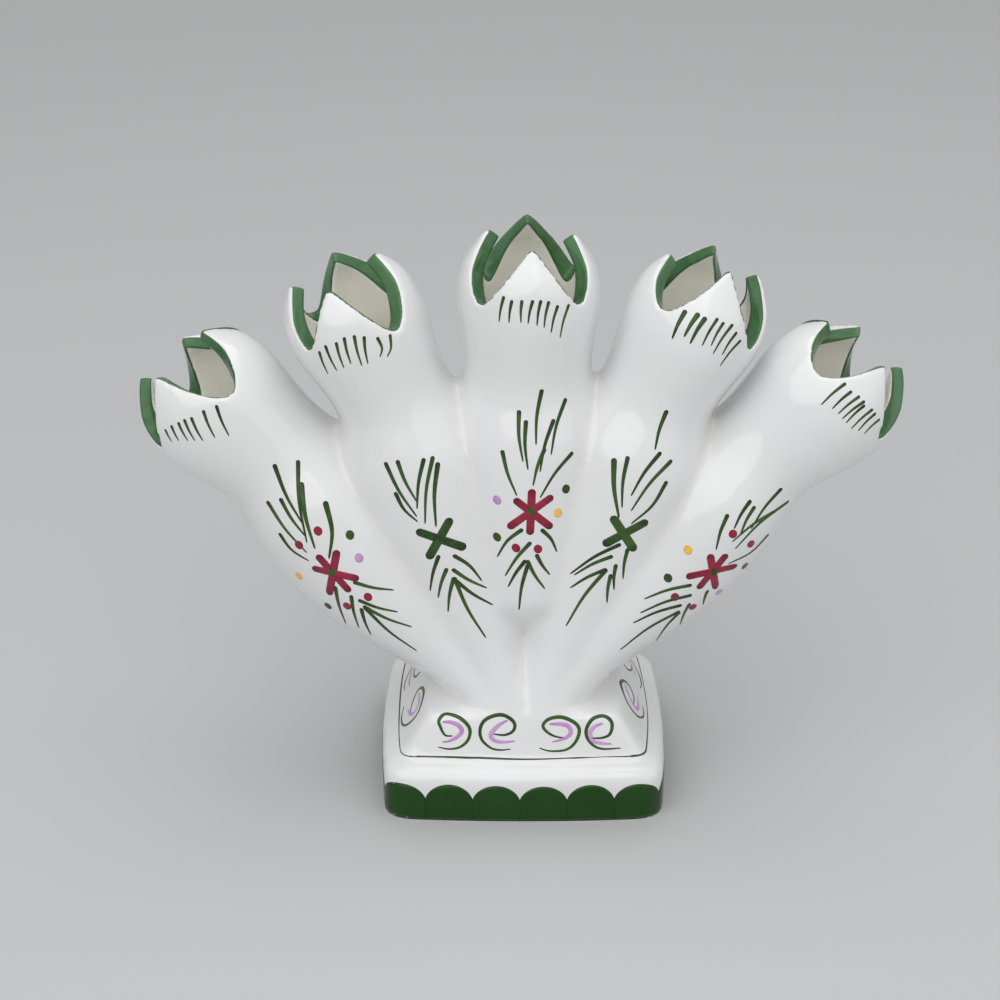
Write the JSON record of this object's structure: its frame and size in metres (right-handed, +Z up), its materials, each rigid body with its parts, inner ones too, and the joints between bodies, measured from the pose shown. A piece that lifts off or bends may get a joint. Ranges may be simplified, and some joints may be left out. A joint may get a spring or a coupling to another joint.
{
  "type": "quintal vase",
  "caption": "Fan-shaped white glazed flower vase with tulip-mouthed finger tubes on a four-sided plinth, painted with green rims, sprigs, flowers, scrolls and a scalloped foot.",
  "frame": {"origin": "middle of the plinth's underside, on the surface that the vase stands on", "axes": "+X along the fan of fingers to the right, +Y away from the painted front, +Z up"},
  "size_m": [0.2074, 0.0706, 0.1645],
  "materials": {
    "white_glaze": "glossy, slightly uneven white glaze",
    "bare_clay": "matt, unglazed",
    "rim_green": "glossy green enamel with lighter worn edges",
    "foot_green": "glossy dark green daubs",
    "leaf_green": "thin dark green brush strokes",
    "crimson": "crimson brush strokes with darker ends",
    "violet": "pale violet brush strokes",
    "yellow": "yellow dabs"
  },
  "bodies": {
    "root": {"plinth": "white_glaze", "plinth_floor": "bare_clay", "finger_outer_left": "white_glaze", "finger_inner_left": "white_glaze", "finger_centre": "white_glaze", "finger_inner_right": "white_glaze", "finger_outer_right": "white_glaze", "rim_enamel_outer_left": "rim_green", "rim_enamel_inner_left": "rim_green", "rim_enamel_centre": "rim_green", "rim_enamel_inner_right": "rim_green", "rim_enamel_outer_right": "rim_green", "hatch_outer_left": "leaf_green", "hatch_inner_left": "leaf_green", "hatch_centre": "leaf_green", "hatch_inner_right": "leaf_green", "hatch_outer_right": "leaf_green", "sprig_outer_left": "leaf_green", "sprig_inner_left": "leaf_green", "sprig_centre": "leaf_green", "sprig_inner_right": "leaf_green", "sprig_outer_right": "leaf_green", "flower_outer_left": "crimson", "cross_inner_left": "leaf_green", "flower_centre": "crimson", "cross_inner_right": "leaf_green", "flower_outer_right": "crimson", "dots_red": "crimson", "dots_green": "leaf_green", "dots_violet": "violet", "dots_yellow": "yellow", "foot_scallops": "foot_green", "shoulder_line": "leaf_green", "scrolls_green": "leaf_green", "scrolls_violet": "violet"}
  },
  "joints": []
}
